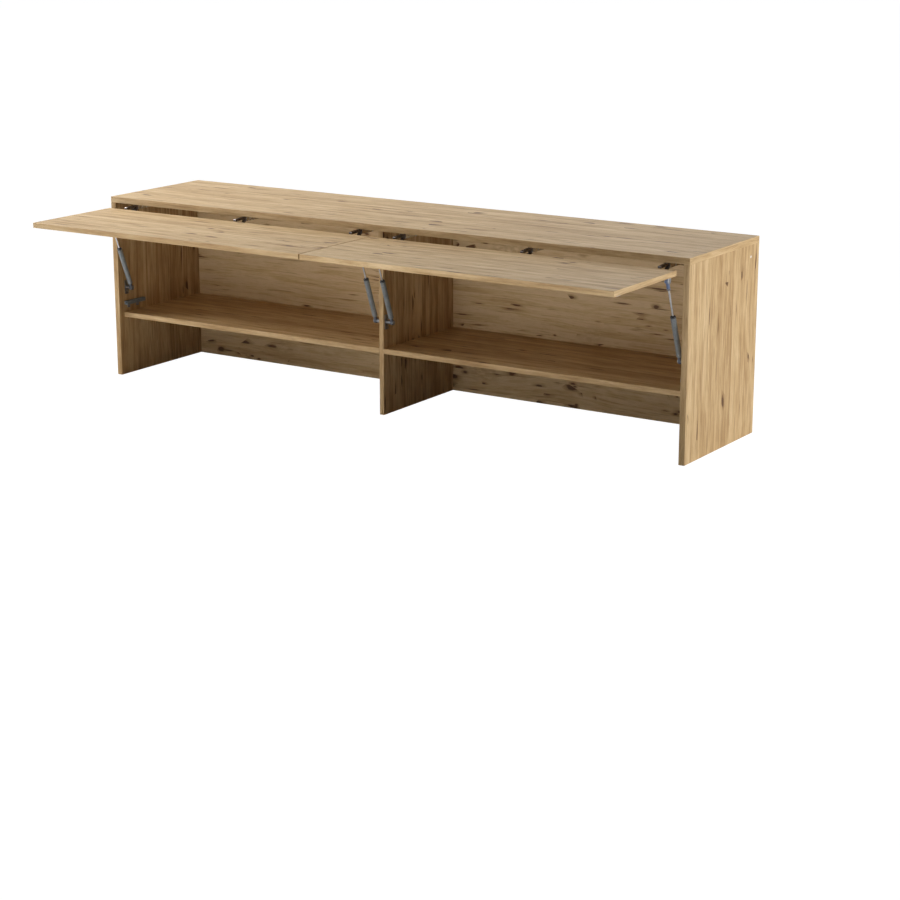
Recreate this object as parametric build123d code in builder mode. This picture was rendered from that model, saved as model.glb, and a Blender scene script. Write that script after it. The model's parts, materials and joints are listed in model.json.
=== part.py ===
"""Wide top cabinet of a folding wall bed, with two lift-up doors held open by gas struts.

Millimetres. +X right, +Y to the wall, +Z up. The origin is on the floor plane, at the centre
of the footprint, under the centre divider. Both doors are drawn open, which is the rest pose.
"""
import math
import os

from build123d import *

os.makedirs("parts", exist_ok=True)

# Carcass
width = 2110
depth = 448
height = 596
outer_board = 19                # top and side panels
board = 16                      # divider, shelves, back and doors
inner_setback = 22              # divider and shelves behind the carcass front
back_setback = 16               # back panel inside the rear edges
shelf_top = 210
edge_break = 0.6
front = -depth / 2
rear = depth / 2
inner_half = width / 2 - outer_board
underside = height - outer_board
back_front = rear - back_setback - board
shelf_bottom = shelf_top - board
sides = {"left": -1, "right": 1}

# Doors. Each swings 90 degrees about an axis just in front of the carcass, inside the top's height.
door_length = 358
door_side_gap = 4.3
door_centre_gap = 2
door_closed_inset = 3           # outer face of the closed door behind the carcass front
door_closed_top_gap = 4.5
swing_y = front - 19.45
swing_z = height - 8.75
door_rear = swing_y + (underside - door_closed_top_gap - swing_z)
door_face = swing_z + (swing_y - front - door_closed_inset)
door_inner = door_face - board
door_x_inner = door_centre_gap
door_x_outer = inner_half - door_side_gap

# Concealed hinges: a parallelogram of two links between an arm on the top and a cup in the door.
hinge_places = (80, 525, 972)
plate_thickness = 2.5
plate_size = (46, 36)
plate_screw_offset = 16
arm_half_width = 7
arm_wall = 1.5
arm_height = 17
arm_front = front + 29
arm_rear = front + 92
arm_pin = (front + 34, underside - 8)
cup_edge_distance = 23
cup_radius = 17.5
cup_bore_depth = 12
cup_depth = 11.5
cup_clearance = 0.1
cup_wall = 1.2
cup_pin = (door_rear - 21, door_inner - 4.5)
cup_screw_offset = 24
flange_size = (60, 12)
flange_radius = 19
flange_thickness = 1.2
ear_inner = 7.4
ear_thickness = 2
ear_half_width = 4
pin_radius = 2
pin_clearance = 0.05
link_radius = 3.6
inner_link_half_width = 5
outer_link_inner = 5.3
outer_link_thickness = 1.8
outer_link_face = outer_link_inner + outer_link_thickness
link_web_length = 12
link_web_thickness = 1.5
link_nose = (arm_pin[0] - 54, arm_pin[1] - 3)
elbow_pin = (arm_pin[0] + cup_pin[0] - swing_y, arm_pin[1] + cup_pin[1] - swing_z)
elbow_pin_overhang = 0.5

# Gas struts: one beside each panel at both ends of each door.
strut_offset = 22               # strut centre line from the panel face
strut_foot = (front + 38, 292)
strut_head = (door_rear - 20, door_inner - 13)
stud_radius = 4
stud_clearance = 0.05
eye_half_width = 4
axial_gap = 0.5
collar_radius = 6
lower_eye_radius = 8
upper_eye_radius = 7
neck_radius = 5
tube_start = 16
tube_end = 145
tube_radius = 8
tube_bore = 6.6
tube_floor = 5
rod_radius = 3
rod_start = 24
rod_length = 152
bracket_thickness = 2
bracket_ear = 3
bracket_length = 48
bracket_setback = 8             # door bracket in front of the door's rear edge
bracket_overhang = 7            # door bracket beyond the strut's centre line
bracket_screw_reaches = (18, 32)
base_size = (18, 46)
base_screw_rise = 15
base_screw_stagger = 3          # so that the screws of both doors pass each other in the divider
plate_corner = 4

# Push latches on the side panels, and the strikes they meet on the doors.
latch_z = 240.5
latch_front = front + 24.5
latch_length = 91
latch_height = 12
latch_width = 13
latch_chamfer = 1
latch_screw_places = (20, 64)
latch_tab_width = 12
latch_tab_drop = 12
latch_tab_overlap = 2
latch_bore = 28
plunger_offset = 8              # plunger centre line from the panel face
plunger_tip = front + 20.4
plunger_head_length = 2
plunger_head_radius = 3.2
plunger_stem_radius = 2.5
plunger_stem_length = 22
strike_thickness = 1
strike_size = (10, 18)
strike_offset = plunger_offset + 1.5

# Fixings
screw_head_radius = 3.5
screw_head_height = 1.6
screw_shank_radius = 1.75
screw_length = 12
cam_radius = 7.5
cam_depth = 12.5
cam_clearance = 0.05
cam_edge_distance = 34
cam_y = 140
cap_radius = 4
cap_thickness = 2
cap_place = (rear - 54, 541.5)
wall_bracket_x = 940
wall_bracket_width = 30
wall_bracket_leg = 60
wall_bracket_foot = 40
wall_bracket_thickness = 2.5
wall_bracket_screw_inset = 12
wall_hole_radius = 3.3
wall_hole_drops = (22, 46)


def save(piece, label):
    """Name a finished piece and write its STEP file."""
    piece.part.label = label
    export_step(piece.part, f"parts/{label}.step")


def box_between(low, high):
    """Add a box between two corners to the part being built."""
    with BuildSketch(Plane.XY.offset(low[2])) as outline:
        with Locations(((low[0] + high[0]) / 2, (low[1] + high[1]) / 2)):
            Rectangle(high[0] - low[0], high[1] - low[1])
    extrude(outline.sketch, amount=high[2] - low[2])


def board_between(panel, low, high):
    """Add a board between two corners, with every edge slightly broken."""
    box_between(low, high)
    chamfer(panel.edges(), edge_break)


def disc_along(plane, radius, length, mode=Mode.ADD):
    """A cylinder that starts on a plane and runs along its normal."""
    with BuildSketch(plane) as outline:
        Circle(radius)
    extrude(outline.sketch, amount=length, mode=mode)


def facing_x(x, y, z, direction):
    """A plane at a point, with its normal along +X or -X."""
    return Plane(origin=(x, y, z), x_dir=(0, 1, 0), z_dir=(direction, 0, 0))


def facing_y(x, y, z, direction):
    """A plane at a point, with its normal along +Y or -Y."""
    return Plane(origin=(x, y, z), x_dir=(1, 0, 0), z_dir=(0, direction, 0))


def facing_z(x, y, z, direction):
    """A plane at a point, with its normal along +Z or -Z."""
    return Plane(origin=(x, y, z), x_dir=(1, 0, 0), z_dir=(0, 0, direction))


def add_cone(plane, mode):
    """The countersunk part of a screw head, narrowing along the plane's normal."""
    with BuildSketch(plane) as rim:
        Circle(screw_head_radius)
    with BuildSketch(plane.offset(screw_head_height)) as neck:
        Circle(screw_shank_radius)
    loft(sections=(rim.sketch, neck.sketch), mode=mode)


def add_screw(plane):
    """A countersunk wood screw whose head top lies on the plane and whose shank follows its normal."""
    add_cone(plane, Mode.ADD)
    disc_along(plane.offset(screw_head_height), screw_shank_radius, screw_length)


def cut_countersink(plane):
    """The hole in a fitting that the same screw's head sits in."""
    add_cone(plane, Mode.SUBTRACT)
    disc_along(plane.offset(screw_head_height), screw_shank_radius, board, mode=Mode.SUBTRACT)


def hinge_xs(side):
    """The hinge centres of one door."""
    return [sides[side] * place for place in hinge_places]


def strut_places(side):
    """Panel face and inward direction of the two struts of one door, by name."""
    sign = sides[side]
    return {"outer": (sign * inner_half, -sign), "inner": (sign * board / 2, sign)}


def between(start, end):
    """Middle, length and angle of a line in the YZ plane."""
    middle = ((start[0] + end[0]) / 2, (start[1] + end[1]) / 2)
    rise = end[1] - start[1]
    run = end[0] - start[0]
    return middle, math.hypot(run, rise), math.degrees(math.atan2(rise, run))


# ---------------------------------------------------------------- carcass

def make_top_panel():
    with BuildPart() as panel:
        board_between(panel, (-width / 2, front, underside), (width / 2, rear, height))
    save(panel, "top_panel")


def make_side_panel(side):
    sign = sides[side]
    faces = sorted((sign * inner_half, sign * width / 2))
    with BuildPart() as panel:
        board_between(panel, (faces[0], front, 0), (faces[1], rear, underside))
        for y in (-cam_y, cam_y):
            cam_plane = facing_x(sign * inner_half, y, underside - cam_edge_distance, sign)
            disc_along(cam_plane, cam_radius + cam_clearance, cam_depth, mode=Mode.SUBTRACT)
        cap_plane = facing_x(sign * width / 2, *cap_place, -sign)
        disc_along(cap_plane, cap_radius + cam_clearance, cap_thickness, mode=Mode.SUBTRACT)
    save(panel, f"{side}_side_panel")


def make_divider():
    with BuildPart() as panel:
        board_between(panel, (-board / 2, front + inner_setback, 0), (board / 2, back_front, underside))
        for y in (-cam_y, cam_y):
            cam_plane = facing_x(-board / 2, y, underside - cam_edge_distance, 1)
            disc_along(cam_plane, cam_radius + cam_clearance, cam_depth, mode=Mode.SUBTRACT)
    save(panel, "centre_divider")


def shelf_cam_planes(side):
    """Where the cams sit under one shelf, two at each end."""
    sign = sides[side]
    ends = (board / 2 + cam_edge_distance, inner_half - cam_edge_distance)
    return [facing_z(sign * x, y, shelf_bottom, 1) for x in ends for y in (-cam_y, cam_y)]


def make_shelf(side):
    sign = sides[side]
    ends = sorted((sign * board / 2, sign * inner_half))
    low = (ends[0], front + inner_setback, shelf_bottom)
    high = (ends[1], back_front, shelf_top)
    with BuildPart() as panel:
        board_between(panel, low, high)
        for cam_plane in shelf_cam_planes(side):
            disc_along(cam_plane, cam_radius + cam_clearance, cam_depth, mode=Mode.SUBTRACT)
    save(panel, f"{side}_shelf")


def make_back_panel():
    with BuildPart() as panel:
        board_between(panel, (-inner_half, back_front, 0), (inner_half, back_front + board, underside))
        for sign in sides.values():
            for drop in wall_hole_drops:
                hole_plane = facing_y(sign * wall_bracket_x, back_front, underside - drop, 1)
                disc_along(hole_plane, wall_hole_radius, board, mode=Mode.SUBTRACT)
    save(panel, "back_panel")


def make_cam_locks():
    with BuildPart() as cams:
        for side, sign in sides.items():
            for cam_plane in shelf_cam_planes(side):
                disc_along(cam_plane, cam_radius, cam_depth)
            for y in (-cam_y, cam_y):
                side_plane = facing_x(sign * inner_half, y, underside - cam_edge_distance, sign)
                disc_along(side_plane, cam_radius, cam_depth)
        for y in (-cam_y, cam_y):
            divider_plane = facing_x(-board / 2, y, underside - cam_edge_distance, 1)
            disc_along(divider_plane, cam_radius, cam_depth)
    save(cams, "cam_locks")


def make_cover_caps():
    with BuildPart() as caps:
        for sign in sides.values():
            disc_along(facing_x(sign * width / 2, *cap_place, -sign), cap_radius, cap_thickness)
    save(caps, "cover_caps")


# ---------------------------------------------------------------- wall fixing

def wall_bracket_screw_plane(sign):
    """The screw that holds a wall bracket up to the top panel."""
    screw_y = back_front - wall_bracket_foot + wall_bracket_screw_inset
    return facing_z(sign * wall_bracket_x, screw_y, underside - wall_bracket_thickness, 1)


def make_wall_bracket(side):
    sign = sides[side]
    left = sign * wall_bracket_x - wall_bracket_width / 2
    right = sign * wall_bracket_x + wall_bracket_width / 2
    leg_front = back_front - wall_bracket_thickness
    foot_bottom = underside - wall_bracket_thickness
    with BuildPart() as bracket:
        box_between((left, leg_front, underside - wall_bracket_leg), (right, back_front, underside))
        box_between((left, back_front - wall_bracket_foot, foot_bottom), (right, back_front, underside))
        for drop in wall_hole_drops:
            hole_plane = facing_y(sign * wall_bracket_x, leg_front, underside - drop, 1)
            disc_along(hole_plane, wall_hole_radius, wall_bracket_thickness, mode=Mode.SUBTRACT)
        cut_countersink(wall_bracket_screw_plane(sign))
    save(bracket, f"{side}_wall_bracket")


def make_wall_bracket_screws():
    with BuildPart() as screws:
        for sign in sides.values():
            add_screw(wall_bracket_screw_plane(sign))
    save(screws, "wall_bracket_screws")


# ---------------------------------------------------------------- doors

def cup_centre_y():
    return door_rear - cup_edge_distance


def make_door(side):
    sign = sides[side]
    ends = sorted((sign * door_x_inner, sign * door_x_outer))
    with BuildPart() as door:
        board_between(door, (ends[0], door_rear - door_length, door_inner), (ends[1], door_rear, door_face))
        for x in hinge_xs(side):
            bore_plane = facing_z(x, cup_centre_y(), door_inner, 1)
            disc_along(bore_plane, cup_radius, cup_bore_depth, mode=Mode.SUBTRACT)
    save(door, f"{side}_door")


def cup_screw_planes(side):
    """Two screws in the flange of each hinge cup."""
    head_z = door_inner - flange_thickness
    offsets = (-cup_screw_offset, cup_screw_offset)
    return [facing_z(x + offset, cup_centre_y(), head_z, 1) for x in hinge_xs(side) for offset in offsets]


def make_hinge_cups(side):
    with BuildPart() as cups:
        for x in hinge_xs(side):
            mouth = facing_z(x, cup_centre_y(), door_inner, 1)
            flange_plane = facing_z(x, cup_centre_y(), door_inner - flange_thickness, 1)
            disc_along(mouth, cup_radius - cup_clearance, cup_depth)
            with BuildSketch(flange_plane):
                Circle(flange_radius)
                Rectangle(*flange_size)
            extrude(amount=flange_thickness)
            inside = cup_depth + flange_thickness - cup_wall
            disc_along(flange_plane, cup_radius - cup_clearance - cup_wall, inside, mode=Mode.SUBTRACT)
            for direction in (-1, 1):
                ear_bottom = cup_pin[1]
                ear_top = door_inner + cup_depth - cup_wall
                with BuildSketch(facing_x(x + direction * ear_inner, *cup_pin, direction)):
                    Circle(ear_half_width)
                    with Locations((0, direction * (ear_top - ear_bottom) / 2)):
                        Rectangle(2 * ear_half_width, ear_top - ear_bottom)
                extrude(amount=ear_thickness)
            pin_half = ear_inner + ear_thickness
            disc_along(facing_x(x - pin_half, *cup_pin, 1), pin_radius, 2 * pin_half)
        for screw_plane in cup_screw_planes(side):
            cut_countersink(screw_plane)
    save(cups, f"{side}_hinge_cups")


def make_cup_screws(side):
    with BuildPart() as screws:
        for screw_plane in cup_screw_planes(side):
            add_screw(screw_plane)
    save(screws, f"{side}_cup_screws")


# ---------------------------------------------------------------- hinge arms and links

def plate_screw_planes(side):
    """Two screws through each mounting plate, up into the top panel."""
    screw_y = (arm_front + arm_rear) / 2
    offsets = (-plate_screw_offset, plate_screw_offset)
    head_z = underside - plate_thickness
    return [facing_z(x + offset, screw_y, head_z, 1) for x in hinge_xs(side) for offset in offsets]


def make_hinge_plates(side):
    with BuildPart() as plates:
        for x in hinge_xs(side):
            with BuildSketch(facing_z(x, (arm_front + arm_rear) / 2, underside - plate_thickness, 1)):
                RectangleRounded(*plate_size, plate_corner)
            extrude(amount=plate_thickness)
        for screw_plane in plate_screw_planes(side):
            cut_countersink(screw_plane)
    save(plates, f"{side}_hinge_plates")


def make_hinge_plate_screws():
    with BuildPart() as screws:
        for side in sides:
            for screw_plane in plate_screw_planes(side):
                add_screw(screw_plane)
    save(screws, "hinge_plate_screws")


def make_hinge_arms(side):
    arm_top = underside - plate_thickness
    arm_bottom = arm_top - arm_height
    inner_half_width = arm_half_width - arm_wall
    with BuildPart() as arms:
        for x in hinge_xs(side):
            box_between((x - arm_half_width, arm_front, arm_bottom), (x + arm_half_width, arm_rear, arm_top))
        for x in hinge_xs(side):
            with BuildSketch(Plane.XY.offset(arm_bottom)):
                with Locations((x, (arm_front + arm_rear) / 2)):
                    Rectangle(2 * inner_half_width, arm_rear - arm_front)
            extrude(amount=arm_height - arm_wall, mode=Mode.SUBTRACT)
            disc_along(facing_x(x - arm_half_width, *arm_pin, 1), pin_radius, 2 * arm_half_width)
    save(arms, f"{side}_hinge_arms")


def make_swing_links(side):
    """The link that turns with the door, on the arm's pin. One leg carries the elbow pin, the other
    is a nose that covers the gap behind the open door."""
    outer_half = outer_link_face + elbow_pin_overhang
    with BuildPart() as links:
        for x in hinge_xs(side):
            with BuildSketch(Plane.YZ.offset(x)):
                for leg_end in (elbow_pin, link_nose):
                    middle, length, angle = between(arm_pin, leg_end)
                    with Locations(middle):
                        SlotCenterToCenter(length, 2 * link_radius, rotation=angle)
            extrude(amount=inner_link_half_width, both=True)
            eye_plane = facing_x(x - inner_link_half_width, *arm_pin, 1)
            eye_length = 2 * inner_link_half_width
            disc_along(eye_plane, pin_radius + pin_clearance, eye_length, mode=Mode.SUBTRACT)
            disc_along(facing_x(x - outer_half, *elbow_pin, 1), pin_radius, 2 * outer_half)
    save(links, f"{side}_swing_links")


def make_cup_links(side):
    """The pair of plates that keeps its direction: from the elbow pin to the cup's pin."""
    middle, length, angle = between(elbow_pin, cup_pin)
    drop = link_radius - link_web_thickness / 2
    across = math.radians(angle + 90)
    web_middle = (middle[0] + drop * math.cos(across), middle[1] + drop * math.sin(across))
    with BuildPart() as links:
        for x in hinge_xs(side):
            for direction in (-1, 1):
                plate_x = x + direction * (outer_link_inner + outer_link_face) / 2
                with BuildSketch(Plane.YZ.offset(plate_x)):
                    with Locations(middle):
                        SlotCenterToCenter(length, 2 * link_radius, rotation=angle)
                extrude(amount=outer_link_thickness / 2, both=True)
            for pin in (elbow_pin, cup_pin):
                bore = pin_radius + pin_clearance
                bore_plane = facing_x(x - outer_link_face, *pin, 1)
                disc_along(bore_plane, bore, 2 * outer_link_face, mode=Mode.SUBTRACT)
            with BuildSketch(Plane.YZ.offset(x)):
                with Locations(web_middle):
                    Rectangle(link_web_length, link_web_thickness, rotation=angle)
            extrude(amount=outer_link_face, both=True)
    save(links, f"{side}_cup_links")


# ---------------------------------------------------------------- gas struts

def strut_axis(x):
    """A plane at the strut's foot whose normal runs along the strut."""
    rise = strut_head[1] - strut_foot[1]
    run = strut_head[0] - strut_foot[0]
    return Plane(origin=(x, *strut_foot), x_dir=(1, 0, 0), z_dir=(0, run, rise))


def base_screw_planes(side):
    """Two screws through each strut base."""
    planes = []
    stagger = base_screw_stagger * sides[side]
    for face, direction in strut_places(side).values():
        for rise in (stagger - base_screw_rise, stagger + base_screw_rise):
            head_x = face + direction * bracket_thickness
            planes.append(facing_x(head_x, strut_foot[0], strut_foot[1] + rise, -direction))
    return planes


def add_stud(face, direction, start, centre):
    """A stud from start to past the eye, with a collar before the eye and a head after it."""
    eye_near = strut_offset - eye_half_width - axial_gap
    eye_far = strut_offset + eye_half_width + axial_gap
    if start < eye_near:
        disc_along(facing_x(face + direction * start, *centre, direction), collar_radius, eye_near - start)
    disc_along(facing_x(face + direction * start, *centre, direction), stud_radius, eye_far - start)
    disc_along(facing_x(face + direction * eye_far, *centre, direction), collar_radius, bracket_thickness)


def make_strut_bases(side):
    with BuildPart() as bases:
        for face, direction in strut_places(side).values():
            with BuildSketch(facing_x(face, *strut_foot, direction)):
                RectangleRounded(*base_size, plate_corner)
            extrude(amount=bracket_thickness)
            add_stud(face, direction, bracket_thickness, strut_foot)
        for screw_plane in base_screw_planes(side):
            cut_countersink(screw_plane)
    save(bases, f"{side}_strut_bases")


def make_strut_base_screws():
    with BuildPart() as screws:
        for side in sides:
            for screw_plane in base_screw_planes(side):
                add_screw(screw_plane)
    save(screws, "strut_base_screws")


def door_bracket_screw_planes(side):
    """Two screws through each door bracket, up into the open door."""
    planes = []
    for face, direction in strut_places(side).values():
        for reach in bracket_screw_reaches:
            screw_x = face + direction * strut_offset
            planes.append(facing_z(screw_x, strut_head[0] - reach, door_inner - bracket_thickness, 1))
    return planes


def make_door_brackets(side):
    ear_far = strut_offset - eye_half_width - axial_gap
    ear_near = ear_far - bracket_ear
    ear_height = door_inner - strut_head[1]
    plate_rear = door_rear - bracket_setback
    plate_front = plate_rear - bracket_length
    plate_bottom = door_inner - bracket_thickness
    with BuildPart() as brackets:
        for face, direction in strut_places(side).values():
            plate_far = strut_offset + bracket_overhang
            xs = sorted((face + direction * ear_near, face + direction * plate_far))
            box_between((xs[0], plate_front, plate_bottom), (xs[1], plate_rear, door_inner))
            with BuildSketch(facing_x(face + direction * ear_near, *strut_head, direction)):
                Circle(upper_eye_radius)
                with Locations((0, direction * ear_height / 2)):
                    Rectangle(2 * upper_eye_radius, ear_height)
            extrude(amount=bracket_ear)
            add_stud(face, direction, ear_far, strut_head)
        for screw_plane in door_bracket_screw_planes(side):
            cut_countersink(screw_plane)
    save(brackets, f"{side}_door_brackets")


def make_door_bracket_screws(side):
    with BuildPart() as screws:
        for screw_plane in door_bracket_screw_planes(side):
            add_screw(screw_plane)
    save(screws, f"{side}_door_bracket_screws")


def make_strut(side, place, face, direction):
    """Tube with its lower eye, and rod with its upper eye, as four pieces."""
    x = face + direction * strut_offset
    axis = strut_axis(x)
    length = between(strut_foot, strut_head)[1]
    eye_bore = stud_radius + stud_clearance

    with BuildPart() as lower_eye:
        disc_along(facing_x(x - eye_half_width, *strut_foot, 1), lower_eye_radius, 2 * eye_half_width)
        disc_along(axis, neck_radius, tube_start)
        disc_along(facing_x(x - neck_radius, *strut_foot, 1), eye_bore, 2 * neck_radius, mode=Mode.SUBTRACT)
        split_away_from_studs(x)
    save(lower_eye, f"{side}_{place}_strut_lower_eye")

    with BuildPart() as tube:
        disc_along(axis.offset(tube_start), tube_radius, tube_end - tube_start)
        bore_start = tube_start + tube_floor
        disc_along(axis.offset(bore_start), tube_bore, tube_end - bore_start, mode=Mode.SUBTRACT)
        chamfer(tube.edges().filter_by(GeomType.CIRCLE).group_by(SortBy.RADIUS)[-1], edge_break)
    save(tube, f"{side}_{place}_strut_tube")

    with BuildPart() as rod:
        disc_along(axis.offset(length - rod_start - rod_length), rod_radius, rod_length)
    save(rod, f"{side}_{place}_strut_rod")

    with BuildPart() as upper_eye:
        disc_along(facing_x(x - eye_half_width, *strut_head, 1), upper_eye_radius, 2 * eye_half_width)
        disc_along(axis.offset(length - rod_start), neck_radius, rod_start)
        disc_along(facing_x(x - neck_radius, *strut_head, 1), eye_bore, 2 * neck_radius, mode=Mode.SUBTRACT)
        split_away_from_studs(x)
    save(upper_eye, f"{side}_{place}_strut_upper_eye")


def split_away_from_studs(x):
    """Trim a strut end to the eye's own width, so that it clears the collars beside it."""
    split(bisect_by=Plane.YZ.offset(x + eye_half_width), keep=Keep.BOTTOM)
    split(bisect_by=Plane.YZ.offset(x - eye_half_width), keep=Keep.TOP)


# ---------------------------------------------------------------- push latches

def latch_screw_planes(side):
    """Two screws through the latch's foot tabs into the side panel."""
    sign = sides[side]
    face = sign * (inner_half - bracket_thickness)
    screw_z = latch_z - (latch_height + latch_tab_drop) / 2
    return [facing_x(face, latch_front + place, screw_z, sign) for place in latch_screw_places]


def make_latch(side):
    sign = sides[side]
    face = sign * inner_half
    xs = sorted((face, face - sign * latch_width))
    tab_xs = sorted((face, face - sign * bracket_thickness))
    bottom = latch_z - latch_height / 2
    with BuildPart() as latch:
        box_between((xs[0], latch_front, bottom), (xs[1], latch_front + latch_length, bottom + latch_height))
        chamfer(latch.edges().filter_by(Axis.Y), latch_chamfer)
        for screw_plane in latch_screw_planes(side):
            y = screw_plane.origin.Y
            low = (tab_xs[0], y - latch_tab_width / 2, bottom - latch_tab_drop)
            high = (tab_xs[1], y + latch_tab_width / 2, bottom + latch_tab_overlap)
            box_between(low, high)
        bore_plane = facing_y(face - sign * plunger_offset, latch_front, latch_z, 1)
        disc_along(bore_plane, plunger_stem_radius + pin_clearance, latch_bore, mode=Mode.SUBTRACT)
        for screw_plane in latch_screw_planes(side):
            cut_countersink(screw_plane)
    save(latch, f"{side}_latch")


def make_latch_screws():
    with BuildPart() as screws:
        for side in sides:
            for screw_plane in latch_screw_planes(side):
                add_screw(screw_plane)
    save(screws, "latch_screws")


def make_plunger(side):
    sign = sides[side]
    tip_plane = facing_y(sign * (inner_half - plunger_offset), plunger_tip, latch_z, 1)
    with BuildPart() as plunger:
        disc_along(tip_plane, plunger_head_radius, plunger_head_length)
        disc_along(tip_plane.offset(plunger_head_length), plunger_stem_radius, plunger_stem_length)
    save(plunger, f"{side}_latch_plunger")


def make_strike(side):
    """The plate on the door's inner face that the plunger touches when the door is shut."""
    sign = sides[side]
    strike_y = swing_y + (latch_z - swing_z)
    with BuildPart() as strike:
        with BuildSketch(facing_z(sign * (inner_half - strike_offset), strike_y, door_inner, -1)):
            Rectangle(*strike_size)
        extrude(amount=strike_thickness)
    save(strike, f"{side}_strike")


make_top_panel()
make_divider()
make_back_panel()
make_cam_locks()
make_cover_caps()
make_wall_bracket_screws()
make_hinge_plate_screws()
make_strut_base_screws()
make_latch_screws()
for side in sides:
    make_side_panel(side)
    make_shelf(side)
    make_wall_bracket(side)
    make_hinge_plates(side)
    make_hinge_arms(side)
    make_swing_links(side)
    make_cup_links(side)
    make_hinge_cups(side)
    make_cup_screws(side)
    make_door(side)
    make_strut_bases(side)
    make_door_brackets(side)
    make_door_bracket_screws(side)
    make_latch(side)
    make_plunger(side)
    make_strike(side)
    for place, (face, direction) in strut_places(side).items():
        make_strut(side, place, face, direction)
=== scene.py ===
"""Looks of the wall-bed top cabinet: oak boards, hinge and strut metal, studio and camera.

Metres, in the CAD model's frame: +X right, +Y to the wall, +Z up.
"""
import json
import math

import bmesh
import bpy
from mathutils import Matrix, Vector


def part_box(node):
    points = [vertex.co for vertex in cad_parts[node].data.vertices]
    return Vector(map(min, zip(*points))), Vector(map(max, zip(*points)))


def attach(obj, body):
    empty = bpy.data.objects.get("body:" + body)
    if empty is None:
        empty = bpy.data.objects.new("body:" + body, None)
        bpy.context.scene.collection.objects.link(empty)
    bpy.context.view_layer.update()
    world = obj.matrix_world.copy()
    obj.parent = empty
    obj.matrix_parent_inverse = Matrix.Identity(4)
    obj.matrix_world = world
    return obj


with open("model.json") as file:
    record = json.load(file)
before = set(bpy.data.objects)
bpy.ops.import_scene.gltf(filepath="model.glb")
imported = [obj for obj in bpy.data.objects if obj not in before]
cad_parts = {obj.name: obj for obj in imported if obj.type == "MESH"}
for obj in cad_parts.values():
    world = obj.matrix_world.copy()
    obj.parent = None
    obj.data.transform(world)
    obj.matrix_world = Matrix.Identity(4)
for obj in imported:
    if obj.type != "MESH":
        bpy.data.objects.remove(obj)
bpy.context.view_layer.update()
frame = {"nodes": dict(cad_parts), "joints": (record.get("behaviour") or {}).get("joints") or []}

MM = 0.001
X, Y, Z = 0, 1, 2
nodes = frame["nodes"]
SIDES = {"left": -1, "right": 1}        # and the sign of X there


# ---------------------------------------------------------------- node helpers

def set_inputs(tree, node, inputs):
    """Fill a node's sockets with constants or with other sockets."""
    for name, value in inputs.items():
        if isinstance(value, bpy.types.NodeSocket):
            tree.links.new(value, node.inputs[name])
        else:
            node.inputs[name].default_value = value


def add_node(tree, kind, inputs=None, **settings):
    """Add a shader node. inputs maps a socket's name or number to a constant or to another socket."""
    made = tree.nodes.new(kind)
    for name, value in settings.items():
        setattr(made, name, value)
    set_inputs(tree, made, inputs or {})
    return made


def calc(tree, operation, first, second=0.0, clamp=False):
    """One math node's output."""
    made = add_node(tree, "ShaderNodeMath", {0: first, 1: second}, operation=operation, use_clamp=clamp)
    return made.outputs[0]


def blend_colours(tree, factor, first, second, kind="MIX"):
    """Mix two colours by a factor."""
    inputs = {0: factor, 6: first, 7: second}
    made = add_node(tree, "ShaderNodeMix", inputs, data_type="RGBA", blend_type=kind)
    return made.outputs[2]


def fade(tree, value, start, end, low=0.0, high=1.0):
    """Smoothly map a value from start..end to low..high."""
    limits = {"From Min": start, "From Max": end, "To Min": low, "To Max": high}
    made = add_node(tree, "ShaderNodeMapRange", {"Value": value, **limits}, interpolation_type="SMOOTHSTEP")
    return made.outputs[0]


def noise(tree, vector, scale=1.0, detail=2.0, roughness=0.5, distortion=0.0):
    """A noise texture's grey value."""
    pattern = {"Scale": scale, "Detail": detail, "Roughness": roughness, "Distortion": distortion}
    return add_node(tree, "ShaderNodeTexNoise", {"Vector": vector, **pattern}).outputs[0]


def colour(red, green, blue):
    """A colour given as 0 to 255 display values, as shader values."""
    def linear(value):
        value /= 255
        return value / 12.92 if value <= 0.04045 else ((value + 0.055) / 1.055) ** 2.4
    return (linear(red), linear(green), linear(blue), 1)


def new_material(name):
    """An empty node material and its tree, with the shader already on the output."""
    material = bpy.data.materials.new(name)
    material.use_nodes = True
    tree = material.node_tree
    tree.nodes.clear()
    shader = add_node(tree, "ShaderNodeBsdfPrincipled")
    add_node(tree, "ShaderNodeOutputMaterial", {0: shader.outputs[0]})
    return material, tree, shader


def object_position(tree):
    """The object's own coordinates, which are the row frame's at rest."""
    return add_node(tree, "ShaderNodeTexCoord").outputs["Object"]


def bump(tree, height, distance, strength=1.0):
    """A bump node's normal."""
    inputs = {"Height": height, "Distance": distance, "Strength": strength}
    return add_node(tree, "ShaderNodeBump", inputs).outputs[0]


# ---------------------------------------------------------------- oak boards

OAK_PALE = colour(212, 185, 143)
OAK_MID = colour(195, 165, 121)
OAK_DEEP = colour(162, 129, 86)
OAK_CRACK = colour(82, 50, 28)
OAK_HALO = colour(132, 97, 60)
STAVE_WIDTH = 0.105
STAVE_SLIP = 2.3                # how far the pattern may slip along the grain between staves
BURL_STRENGTH = 8
SEED_STEPS = (3.71, 1.37)       # how far a seed moves the pattern along and across the grain
BROAD_FACE = 0.7                # how squarely a face must look along an axis to count as facing it


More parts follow.
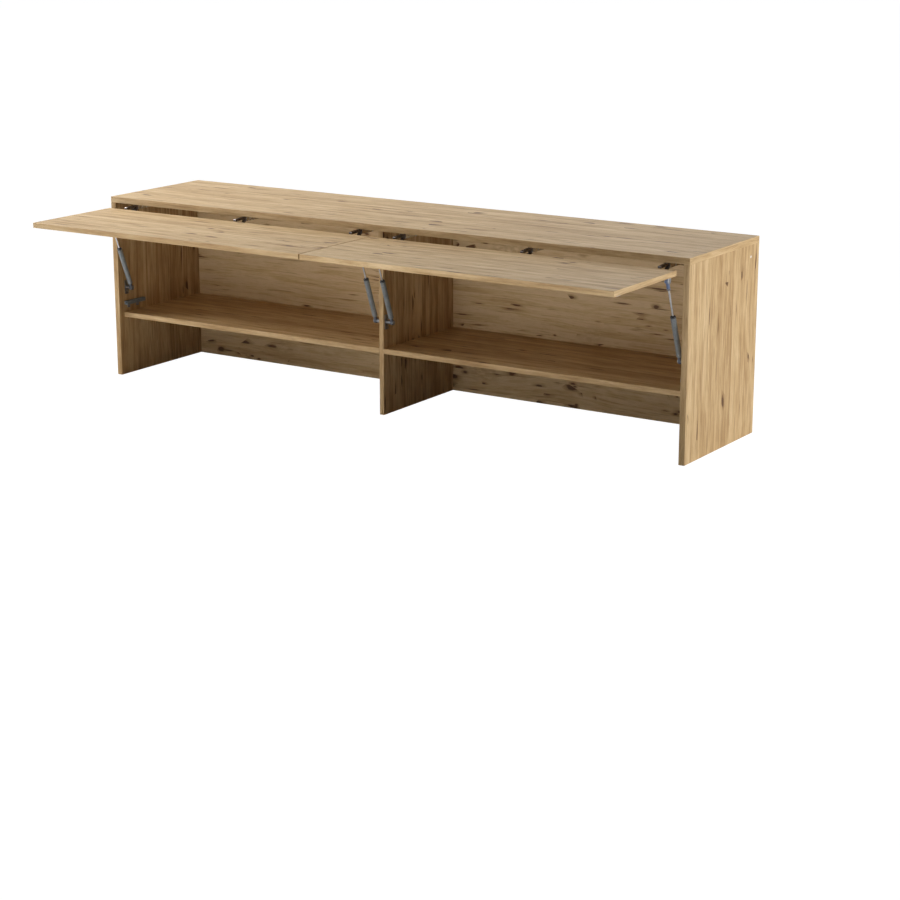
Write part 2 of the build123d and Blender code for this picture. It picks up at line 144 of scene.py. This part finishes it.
def grain_frame(tree, along, across, seed):
    """Coordinates (along the grain, across it, through the board), and 1 where a broad face is.

    On the board's ends they turn, so that the grain follows the edge as edge banding does.
    """
    through = ({X, Y, Z} - {along, across}).pop()
    coordinates = add_node(tree, "ShaderNodeTexCoord").outputs
    parts = add_node(tree, "ShaderNodeSeparateXYZ", {0: coordinates["Object"]}).outputs
    facing = add_node(tree, "ShaderNodeSeparateXYZ", {0: coordinates["Normal"]}).outputs
    on_end = calc(tree, "GREATER_THAN", calc(tree, "ABSOLUTE", facing[along]), BROAD_FACE)
    on_face = calc(tree, "GREATER_THAN", calc(tree, "ABSOLUTE", facing[through]), BROAD_FACE)

    def turned(face_part, end_part):
        inputs = {0: on_end, 2: parts[face_part], 3: parts[end_part]}
        return add_node(tree, "ShaderNodeMix", inputs).outputs[0]

    lengthwise = calc(tree, "ADD", turned(along, across), seed * SEED_STEPS[0])
    crosswise = calc(tree, "ADD", turned(across, through), seed * SEED_STEPS[1])
    return (lengthwise, crosswise, turned(through, along)), on_face


def stretched(tree, grain, along_scale, across_scale):
    """A vector in which features are long along the grain and thin across it."""
    lengthwise, crosswise, inward = grain
    return add_node(tree, "ShaderNodeCombineXYZ", {
        0: calc(tree, "MULTIPLY", lengthwise, along_scale),
        1: calc(tree, "MULTIPLY", crosswise, across_scale),
        2: calc(tree, "MULTIPLY", inward, across_scale),
    }).outputs[0]


def spots(tree, grain, cells, share, radii, ragged):
    """Scattered dark spots along the grain, as (core, halo) strengths.

    cells is how many per metre along and across, share is how many of the cells hold a spot, radii
    the smallest and largest in cell widths, and ragged a grey value that breaks up the outline.
    """
    lengthwise, crosswise, _ = grain
    vector = add_node(tree, "ShaderNodeCombineXYZ", {
        0: calc(tree, "MULTIPLY", lengthwise, cells[0]),
        1: calc(tree, "MULTIPLY", crosswise, cells[1]),
    }).outputs[0]
    inputs = {"Vector": vector, "Scale": 1.0}
    voronoi = add_node(tree, "ShaderNodeTexVoronoi", inputs, voronoi_dimensions="2D")
    random = add_node(tree, "ShaderNodeSeparateColor", {0: voronoi.outputs["Color"]}).outputs
    present = calc(tree, "LESS_THAN", random[0], share)
    radius = fade(tree, random[1], 0, 1, *radii)
    reach = calc(tree, "ADD", calc(tree, "DIVIDE", voronoi.outputs["Distance"], radius), ragged)
    core = calc(tree, "MULTIPLY", fade(tree, reach, 0.6, 1.0, 1.0, 0.0), present)
    halo = calc(tree, "MULTIPLY", fade(tree, reach, 0.8, 2.4, 0.6, 0.0), present)
    return core, halo


def centred(tree, value, amount):
    """A grey value around 0.5 turned into a swing of the given amount around zero."""
    return calc(tree, "MULTIPLY", calc(tree, "SUBTRACT", value, 0.5), amount)


def oak(name, along, across, seed, cracks, knots, painted_shading=0.0):
    """Light oak décor: staves, wandering growth lines, fibres, pores, short dark cracks and knots."""
    material, tree, shader = new_material(name)
    plain_grain, on_face = grain_frame(tree, along, across, seed)
    slow = noise(tree, stretched(tree, plain_grain, 2.2, 6.0), detail=2.0)
    wandering = calc(tree, "ADD", plain_grain[1], centred(tree, slow, 0.045))

    stave_place = calc(tree, "DIVIDE", plain_grain[1], STAVE_WIDTH)
    stave_inputs = {"W": stave_place, "Randomness": 0.7}
    stave = add_node(tree, "ShaderNodeTexVoronoi", stave_inputs, voronoi_dimensions="1D")
    stave_random = add_node(tree, "ShaderNodeSeparateColor", {0: stave.outputs["Color"]}).outputs
    stave_edge = add_node(tree, "ShaderNodeTexVoronoi", stave_inputs, voronoi_dimensions="1D",
                          feature="DISTANCE_TO_EDGE").outputs["Distance"]
    joint = fade(tree, stave_edge, 0.0, 0.02, 0.3, 0.0)
    lengthwise = calc(tree, "ADD", plain_grain[0], calc(tree, "MULTIPLY", stave_random[1], STAVE_SLIP))
    grain = (lengthwise, wandering, plain_grain[2])

    broad = noise(tree, stretched(tree, grain, 2.4, 22.0), detail=5.0, roughness=0.72)
    rings = noise(tree, stretched(tree, grain, 1.1, 8.0), detail=2.0, distortion=0.5)
    ring_lines = calc(tree, "PINGPONG", calc(tree, "MULTIPLY", rings, 22.0), 1.0)
    streaks = noise(tree, stretched(tree, grain, 5.0, 110.0), detail=4.0, roughness=0.65)
    fibres = noise(tree, stretched(tree, grain, 14.0, 420.0), detail=3.0, roughness=0.7)
    pore_pattern = noise(tree, stretched(tree, grain, 34.0, 900.0), detail=1.0)
    pores = fade(tree, pore_pattern, 0.60, 0.70, 0.0, 0.3)
    mottle = noise(tree, stretched(tree, grain, 45.0, 90.0), detail=2.0)

    shade = calc(tree, "ADD", centred(tree, broad, 1.9), centred(tree, streaks, 1.3))
    shade = calc(tree, "ADD", shade, centred(tree, fibres, 1.0))
    shade = calc(tree, "ADD", shade, centred(tree, ring_lines, 0.22))
    shade = calc(tree, "ADD", shade, centred(tree, stave_random[0], 0.30))
    # The per-board offset makes the whole board darker or paler: painted shade on the inside boards,
    # painted light on the back panel and left door.
    shade = calc(tree, "ADD", shade, 0.5 + painted_shading)
    ramp = add_node(tree, "ShaderNodeValToRGB", {0: shade})
    stops = ramp.color_ramp.elements
    stops[0].position = 0.1
    stops[0].color = OAK_PALE
    stops[1].position = 1.0
    stops[1].color = OAK_DEEP
    stops.new(0.5).color = OAK_MID
    wood = ramp.outputs[0]

    ragged = calc(tree, "ADD", centred(tree, streaks, 1.6), centred(tree, mottle, 1.0))
    gathering = noise(tree, stretched(tree, plain_grain, 3.4, 6.5), detail=1.0)
    cracked = fade(tree, gathering, 0.3, 0.6, 0.3 * cracks, 2.0 * cracks)
    crack_share = calc(tree, "MULTIPLY", cracked, on_face)
    crack, crack_halo = spots(tree, grain, (8.0, 90.0), crack_share, (0.09, 0.28), ragged)
    dash_pattern = noise(tree, stretched(tree, grain, 6.0, 130.0), detail=3.0)
    dashes = fade(tree, dash_pattern, 0.58, 0.72, 0.0, 0.6)
    knotted = fade(tree, gathering, 0.50, 0.66, 0.3 * knots, 5.0 * knots)
    knot_share = calc(tree, "MULTIPLY", knotted, on_face)
    knot, knot_halo = spots(tree, grain, (17.0, 36.0), knot_share, (0.08, 0.34), ragged)
    burl_place = fade(tree, gathering, 0.56, 0.72, 0.0, 0.45)
    burl = calc(tree, "MULTIPLY", burl_place, fade(tree, mottle, 0.3, 0.6))
    halo = calc(tree, "MAXIMUM", crack_halo, knot_halo)
    halo = calc(tree, "MAXIMUM", halo, calc(tree, "MAXIMUM", joint, pores))
    halo = calc(tree, "MAXIMUM", halo, calc(tree, "MULTIPLY", dashes, on_face))
    halo = calc(tree, "MAXIMUM", halo, calc(tree, "MULTIPLY", burl, BURL_STRENGTH * knots, clamp=True))
    dark = calc(tree, "MULTIPLY", calc(tree, "MAXIMUM", crack, knot), 0.85)
    wood = blend_colours(tree, halo, wood, OAK_HALO)
    wood = blend_colours(tree, dark, wood, OAK_CRACK)

    hollows = calc(tree, "MAXIMUM", dark, pores)
    height = calc(tree, "SUBTRACT", calc(tree, "MULTIPLY", fibres, 0.5), hollows)
    set_inputs(tree, shader, {
        "Base Color": wood,
        "Roughness": fade(tree, fibres, 0.3, 0.7, 0.44, 0.56),
        "Specular IOR Level": 0.22,
        "Normal": bump(tree, height, 0.12 * MM),
    })
    return material


# The per-board offsets are painted light and shade, not the oak's own colour: painted shade darkens the
# shelves, left side panel and divider seen inside the cabinet, and painted light makes the back panel and
# left door paler.
BOARDS = {
    "top_panel": dict(along=X, across=Y, seed=11, cracks=0.06, knots=0.02),
    "left_shelf": dict(along=X, across=Y, seed=2, cracks=0.04, knots=0.01, painted_shading=0.18),
    "right_shelf": dict(along=X, across=Y, seed=3, cracks=0.04, knots=0.01, painted_shading=0.20),
    "left_door": dict(along=X, across=Y, seed=14, cracks=0.06, knots=0.02, painted_shading=-0.04),
    "right_door": dict(along=X, across=Y, seed=5, cracks=0.06, knots=0.02),
    "back_panel": dict(along=X, across=Z, seed=6, cracks=0.03, knots=0.10, painted_shading=-0.32),
    "left_side_panel": dict(along=Z, across=Y, seed=7, cracks=0.03, knots=0.03, painted_shading=0.20),
    "right_side_panel": dict(along=Z, across=Y, seed=8, cracks=0.03, knots=0.03),
    "centre_divider": dict(along=Z, across=Y, seed=9, cracks=0.03, knots=0.03, painted_shading=0.16),
}


def paint_boards():
    for board, look in BOARDS.items():
        dress(board, oak(f"oak_{board}", **look))


# ---------------------------------------------------------------- metal and plastic

def dress(node, material):
    """Give a CAD node one material in place of its plain one."""
    slots = nodes[node].data.materials
    slots.clear()
    slots.append(material)


def metal(name, shade, roughness, mark_scale, metallic=1.0, coat=0.0):
    """Metal or metallic paint with fine handling marks and an uneven sheen."""
    material, tree, shader = new_material(name)
    position = object_position(tree)
    cloud = noise(tree, position, scale=mark_scale, detail=4.0, roughness=0.6)
    grit = noise(tree, position, scale=mark_scale * 30, detail=1.0)
    darker = tuple(0.72 * part for part in shade[:3]) + (1,)
    set_inputs(tree, shader, {
        "Base Color": blend_colours(tree, fade(tree, cloud, 0.35, 0.75), shade, darker),
        "Metallic": metallic,
        "Roughness": fade(tree, cloud, 0.3, 0.7, roughness * 0.8, roughness * 1.25),
        "Coat Weight": coat,
        "Normal": bump(tree, grit, 0.01 * MM),
    })
    return material


def plastic(name, shade, roughness):
    """Moulded plastic with a fine spark-eroded texture."""
    material, tree, shader = new_material(name)
    position = object_position(tree)
    grit = noise(tree, position, scale=1800.0, detail=2.0)
    cloud = noise(tree, position, scale=60.0, detail=2.0)
    darker = tuple(0.8 * part for part in shade[:3]) + (1,)
    set_inputs(tree, shader, {
        "Base Color": blend_colours(tree, cloud, shade, darker),
        "Roughness": fade(tree, grit, 0.3, 0.7, roughness - 0.08, roughness + 0.08),
        "Normal": bump(tree, grit, 0.03 * MM),
    })
    return material


def paint_fittings():
    nickel = metal("nickel_steel", colour(196, 194, 190), 0.24, 90.0)
    # The swing links' dark steel is painted shade, standing in for the shadow in the hinge channel.
    links_shade_steel = metal("dark_steel", colour(112, 106, 102), 0.3, 90.0)
    pale = plastic("cap_plastic", colour(236, 232, 224), 0.4)
    zinc = metal("zinc_steel", colour(168, 172, 178), 0.34, 140.0)
    tube = metal("strut_tube", colour(134, 140, 142), 0.36, 60.0, metallic=0.3, coat=0.3)
    rod = metal("strut_rod", colour(232, 232, 236), 0.10, 50.0)
    blue_eye = plastic("eye_plastic", colour(104, 120, 152), 0.4)
    grey_eye = plastic("dark_plastic", colour(88, 94, 104), 0.45)
    grey = plastic("grey_plastic", colour(118, 128, 134), 0.48)
    cam = metal("cam_zinc", colour(150, 150, 152), 0.45, 200.0)
    finishes = {
        "hinge_plates": nickel, "hinge_arms": nickel, "swing_links": links_shade_steel, "cup_links": nickel,
        "hinge_cups": nickel, "wall_bracket": zinc, "strut_bases": zinc, "door_brackets": zinc,
        "strike": zinc, "screws": zinc, "strut_tube": tube, "strut_rod": rod, "strut_lower_eye": grey_eye,
        "strut_upper_eye": blue_eye, "latch": grey, "latch_plunger": grey, "cam_locks": cam,
        "cover_caps": pale,
    }
    for name in nodes:
        for ending, material in finishes.items():
            if name.endswith(ending):
                dress(name, material)


# ---------------------------------------------------------------- detail pieces

AXES = (Vector((1, 0, 0)), Vector((0, 1, 0)), Vector((0, 0, 1)))
HALF_BAY = 0.5                  # screws nearer a side than this are in the side, the others in the divider

RECESS_LENGTH = 1.9 * MM        # half lengths of one arm of a cross recess
RECESS_WIDTH = 0.35 * MM
RECESS_DEPTH = 0.12 * MM

TUBE_START = 16 * MM            # the strut tube's ends, from the lower pivot
TUBE_END = 145 * MM
TUBE_RADIUS = 8 * MM
ROD_RADIUS = 3 * MM
CRIMP_REACHES = (TUBE_START + 9 * MM, TUBE_END - 12 * MM)
FERRULE_REACH = 24 * MM         # back from the upper pivot

LATCH_RIBS = 7
LATCH_RIB_START = 26 * MM
LATCH_RIB_STEP = 6 * MM
LATCH_HALF_HEIGHT = 6 * MM
PLUNGER_X = 1.028               # from the middle of the cabinet
PLUNGER_CLEARANCE_RADIUS = 3.4 * MM

ADJUSTER_REACHES = (26 * MM, 48 * MM)
ADJUSTER_DROP = 1.5 * MM
ADJUSTER_LENGTH = 10 * MM
ADJUSTER_RADIUS = 3.2 * MM


def make_piece(name, shape, material, body):
    """Turn a bmesh into a piece that moves with a CAD body."""
    mesh = bpy.data.meshes.new(name)
    bmesh.ops.recalc_face_normals(shape, faces=shape.faces)
    shape.to_mesh(mesh)
    shape.free()
    mesh.materials.append(material)
    piece = bpy.data.objects.new(name, mesh)
    bpy.context.scene.collection.objects.link(piece)
    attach(piece, body)


def add_turning(shape, base, axis, profile, steps=40):
    """Add a closed ring turned about an axis. profile lists (distance along the axis, radius)."""
    aside = axis.orthogonal().normalized()
    other = axis.cross(aside)
    rows = []
    for along, radius in profile:
        row = []
        for step in range(steps):
            angle = 2 * math.pi * step / steps
            spoke = math.cos(angle) * aside + math.sin(angle) * other
            row.append(shape.verts.new(base + along * axis + radius * spoke))
        rows.append(row)
    for row, following in zip(rows, rows[1:] + rows[:1]):
        for step in range(steps):
            after = (step + 1) % steps
            shape.faces.new((row[step], row[after], following[after], following[step]))


def add_bar(shape, centre, halves, bevel, directions=AXES):
    """Add a bevelled bar with the given half lengths along three directions."""
    made = bmesh.ops.create_cube(shape, size=2)
    axes = Matrix([direction * half for direction, half in zip(directions, halves)]).transposed()
    placing = Matrix.Translation(centre) @ axes.to_4x4()
    bmesh.ops.transform(shape, matrix=placing, verts=made["verts"])
    edges = list({edge for vert in made["verts"] for edge in vert.link_edges})
    bmesh.ops.bevel(shape, geom=edges, offset=bevel, segments=2, affect="EDGES")


def islands(node):
    """(lowest corner, highest corner) of each separate solid in a CAD node."""
    shape = bmesh.new()
    shape.from_mesh(nodes[node].data)
    bmesh.ops.remove_doubles(shape, verts=shape.verts, dist=0.001 * MM)
    left = set(shape.verts)
    boxes = []
    while left:
        reached = {left.pop()}
        newest = set(reached)
        while newest:
            newest = {edge.other_vert(vert) for vert in newest for edge in vert.link_edges} & left
            left -= newest
            reached |= newest
        low = Vector([min(vert.co[axis] for vert in reached) for axis in (X, Y, Z)])
        high = Vector([max(vert.co[axis] for vert in reached) for axis in (X, Y, Z)])
        boxes.append((low, high))
    shape.free()
    return boxes


def add_recesses(node, body, material):
    """Dark crosses on the head of every screw of a node, painted shade standing in for the cross recess.

    Screws along X face into their bay, and all others face down or forwards.
    """
    shape = bmesh.new()
    for low, high in islands(node):
        head = (low + high) / 2
        size = high - low
        axis = max((X, Y, Z), key=lambda number: size[number])
        faces_right = axis == X and (head.x < -HALF_BAY or 0 < head.x < HALF_BAY)
        head[axis] = high[axis] if faces_right else low[axis]
        aside = AXES[axis].orthogonal().normalized()
        directions = (AXES[axis], aside, AXES[axis].cross(aside))
        for arm in ((RECESS_LENGTH, RECESS_WIDTH), (RECESS_WIDTH, RECESS_LENGTH)):
            add_bar(shape, head, (RECESS_DEPTH, *arm), 0.05 * MM, directions)
    make_piece(f"{node}_recesses", shape, material, body)


def strut_line(name):
    """The lower pivot of a strut, its direction, and the distance to the upper pivot."""
    pivots = {joint["name"]: Vector(joint["pos_m"]) for joint in frame["joints"] if "pos_m" in joint}
    foot = pivots[f"{name}_tube_tilt"]
    line = pivots[f"{name}_rod_tilt"] - foot
    return foot, line.normalized(), line.length


def dress_strut(name, seal_and_recess_shade, steel):
    """The rod guide, the crimps and the ferrule under the upper eye of one gas strut."""
    foot, axis, length = strut_line(name)

    guide = bmesh.new()
    near = TUBE_END - 1.5 * MM
    far = TUBE_END + 3 * MM
    inner = ROD_RADIUS + 3.35 * MM
    outer = TUBE_RADIUS + 0.1 * MM
    lip = ((near, outer), (far - 1 * MM, outer), (far, outer - 0.9 * MM), (far, inner), (near, inner))
    add_turning(guide, foot, axis, lip)
    make_piece(f"{name}_rod_guide", guide, seal_and_recess_shade, f"{name}_tube")

    crimps = bmesh.new()
    inside = TUBE_RADIUS - 0.1 * MM
    outside = TUBE_RADIUS + 0.25 * MM
    for reach in CRIMP_REACHES:
        ends = (reach - 1.2 * MM, reach + 1.2 * MM)
        flats = (reach - 0.5 * MM, reach + 0.5 * MM)
        bead = ((ends[0], inside), (flats[0], outside), (flats[1], outside), (ends[1], inside))
        add_turning(crimps, foot, axis, bead)
    make_piece(f"{name}_crimps", crimps, steel, f"{name}_tube")

    ferrule = bmesh.new()
    start = length - FERRULE_REACH
    low = start - 4 * MM
    top = start + 3 * MM
    bore = ROD_RADIUS + 0.05 * MM
    sleeve = ((low, bore), (low, 4.3 * MM), (low + 0.8 * MM, 5.2 * MM), (top, 5.6 * MM), (top, bore))
    add_turning(ferrule, foot, axis, sleeve)
    make_piece(f"{name}_ferrule", ferrule, steel, f"{name}_rod")


def dress_latch(side, material):
    """Ribs along a push latch and a collar around its plunger."""
    low, high = (Vector(corner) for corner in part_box(f"{side}_latch"))
    sign = SIDES[side]
    inner_face = low.x if sign > 0 else high.x
    middle_z = high.z - LATCH_HALF_HEIGHT
    shape = bmesh.new()
    for number in range(LATCH_RIBS):
        place = Vector((inner_face, low.y + LATCH_RIB_START + number * LATCH_RIB_STEP, middle_z))
        add_bar(shape, place, (0.4 * MM, 1.2 * MM, 4.2 * MM), 0.25 * MM)
    bore = Vector((sign * PLUNGER_X, low.y, middle_z))
    inner = PLUNGER_CLEARANCE_RADIUS
    proud = -0.8 * MM
    sunk = 0.2 * MM
    collar = ((proud, inner), (proud, inner + 0.6 * MM), (sunk, inner + 1.2 * MM), (sunk, inner))
    add_turning(shape, bore, AXES[Y], collar)
    make_piece(f"{side}_latch_ribs", shape, material, "carcass")


def dress_hinges(side, material):
    """Two slotted adjusting screws in the channel of every hinge arm."""
    shape = bmesh.new()
    tip = 0.6 * MM
    core = 0.4 * MM
    end = -ADJUSTER_LENGTH
    rim = end + 1 * MM
    outer = ADJUSTER_RADIUS
    post = ((0, core), (0, outer), (rim, outer), (end, outer - tip), (end, core))
    for low, high in islands(f"{side}_hinge_arms"):
        for reach in ADJUSTER_REACHES:
            top = Vector(((low.x + high.x) / 2, low.y + reach, high.z - ADJUSTER_DROP))
            add_turning(shape, top, AXES[Z], post, 28)
            add_bar(shape, top + end * AXES[Z], (2.2 * MM, 0.5 * MM, 0.3 * MM), 0.1 * MM)
    make_piece(f"{side}_hinge_adjusters", shape, material, "carcass")


def add_details():
    # This grey is the strut's real rod seal, and also the painted shade in the screw recesses.
    seal_and_recess_shade = plastic("seal_grey", colour(66, 68, 72), 0.5)
    steel = metal("detail_zinc", colour(150, 154, 160), 0.3, 120.0)
    ribs = plastic("latch_rib_grey", colour(104, 116, 124), 0.5)
    for screws in ("hinge_plate_screws", "strut_base_screws", "latch_screws", "wall_bracket_screws"):
        add_recesses(screws, "carcass", seal_and_recess_shade)
    for side in SIDES:
        add_recesses(f"{side}_cup_screws", f"{side}_door", seal_and_recess_shade)
        add_recesses(f"{side}_door_bracket_screws", f"{side}_door", seal_and_recess_shade)
        dress_latch(side, ribs)
        dress_hinges(side, steel)
        for place in ("outer", "inner"):
            dress_strut(f"{side}_{place}", seal_and_recess_shade, steel)


# ---------------------------------------------------------------- studio

CAMERA_PLACE = Vector((3.7457, -5.6112, 1.6673))
CAMERA_HEADING = math.radians(32.869)
CAMERA_TILT = math.radians(15.146)   # below level
CAMERA_LENS = 87.67

WHITE = (1, 1, 1, 1)
ROOM_GLOW = 0.033
REFLECTED_ROOM = 0.60
FLOOR_SIZE = 30
FLOOR_WHITE = 1.14
FLOOR_WHITE_SHARE = 0.88        # the rest of what the camera sees of the floor is its own shading


def make_camera():
    """A plain camera, level from side to side and tilted down, with no lens shift."""
    data = bpy.data.cameras.new("camera")
    data.lens = CAMERA_LENS
    data.sensor_width = 36
    data.clip_end = 100
    camera = bpy.data.objects.new("camera", data)
    camera.location = CAMERA_PLACE
    camera.rotation_euler = (math.radians(90) - CAMERA_TILT, 0, CAMERA_HEADING)
    bpy.context.scene.collection.objects.link(camera)
    bpy.context.scene.camera = camera


def make_area_light(name, place, target, size, power, spread=180):
    """A soft rectangular light that faces a point."""
    data = bpy.data.lights.new(name, "AREA")
    data.shape = "RECTANGLE"
    data.size = size[0]
    data.size_y = size[1]
    data.energy = power
    data.spread = math.radians(spread)
    light = bpy.data.objects.new(name, data)
    light.location = place
    light.rotation_mode = "QUATERNION"
    light.rotation_quaternion = (Vector(target) - Vector(place)).to_track_quat("-Z", "Y")
    light.visible_camera = False
    bpy.context.scene.collection.objects.link(light)


def make_lights():
    """Boxes above, beside and in front, a low glow as from a bright floor, and a sheen from behind."""
    make_area_light("top_left_box", (-2.8, -0.3, 2.7), (-0.5, -0.2, 0.5), (1.2, 1.2), 26, spread=90)
    make_area_light("top_back_box", (0.3, 2.2, 2.6), (0.4, -0.2, 0.5), (2.0, 1.0), 8, spread=90)
    make_area_light("back_sheen", (-3.2, 3.9, 1.5), (0, 0, 0.35), (4.6, 1.3), 11)
    make_area_light("right_box", (4.4, 0.9, 0.9), (1.05, 0, 0.3), (1.8, 1.6), 123)
    make_area_light("left_front_box", (-3.8, -1.6, 0.85), (-0.6, -0.3, 0.35), (1.0, 1.0), 57)
    make_area_light("floor_glow", (0.1, -3.2, 0.02), (0.1, -3.2, 1), (3.2, 4.2), 70)
    make_area_light("front_box", (0, -4.5, 2.4), (0, 0, 0.4), (2.5, 1.0), 14)
    make_area_light("front_strip", (0, -4.0, 0.45), (0, 0, 0.35), (2.0, 0.4), 1.6, spread=40)


def make_world():
    """White for the camera, a pale room for reflections, and next to nothing for everything else."""
    world = bpy.data.worlds.new("studio")
    world.use_nodes = True
    bpy.context.scene.world = world
    tree = world.node_tree
    tree.nodes.clear()
    rays = add_node(tree, "ShaderNodeLightPath").outputs
    strength = calc(tree, "ADD", calc(tree, "MULTIPLY", rays["Is Glossy Ray"], REFLECTED_ROOM), ROOM_GLOW)
    glow = add_node(tree, "ShaderNodeBackground", {0: WHITE, 1: strength})
    seen = add_node(tree, "ShaderNodeBackground", {0: WHITE, 1: 1.0})
    shaders = {0: rays["Is Camera Ray"], 1: glow.outputs[0], 2: seen.outputs[0]}
    mixed = add_node(tree, "ShaderNodeMixShader", shaders)
    add_node(tree, "ShaderNodeOutputWorld", {0: mixed.outputs[0]})


def make_floor():
    """A pale floor that shows only a faint shadow."""
    mesh = bpy.data.meshes.new("floor")
    shape = bmesh.new()
    bmesh.ops.create_grid(shape, x_segments=2, y_segments=2, size=FLOOR_SIZE)
    shape.to_mesh(mesh)
    shape.free()
    floor = bpy.data.objects.new("floor", mesh)
    floor.location.z = -0.5 * MM
    bpy.context.scene.collection.objects.link(floor)
    material = bpy.data.materials.new("floor_white")
    material.use_nodes = True
    tree = material.node_tree
    tree.nodes.clear()
    matt = add_node(tree, "ShaderNodeBsdfDiffuse", {0: (0.8, 0.8, 0.8, 1)})
    white = add_node(tree, "ShaderNodeEmission", {0: WHITE, 1: FLOOR_WHITE})
    is_camera = add_node(tree, "ShaderNodeLightPath").outputs["Is Camera Ray"]
    share = calc(tree, "MULTIPLY", is_camera, FLOOR_WHITE_SHARE)
    mixed = add_node(tree, "ShaderNodeMixShader", {0: share, 1: matt.outputs[0], 2: white.outputs[0]})
    add_node(tree, "ShaderNodeOutputMaterial", {0: mixed.outputs[0]})
    mesh.materials.append(material)


def set_look():
    view = bpy.context.scene.view_settings
    view.view_transform = "Standard"
    view.look = "None"
    view.exposure = 0
    view.gamma = 1


paint_boards()
paint_fittings()
add_details()
make_camera()
make_lights()
make_world()
make_floor()
set_look()
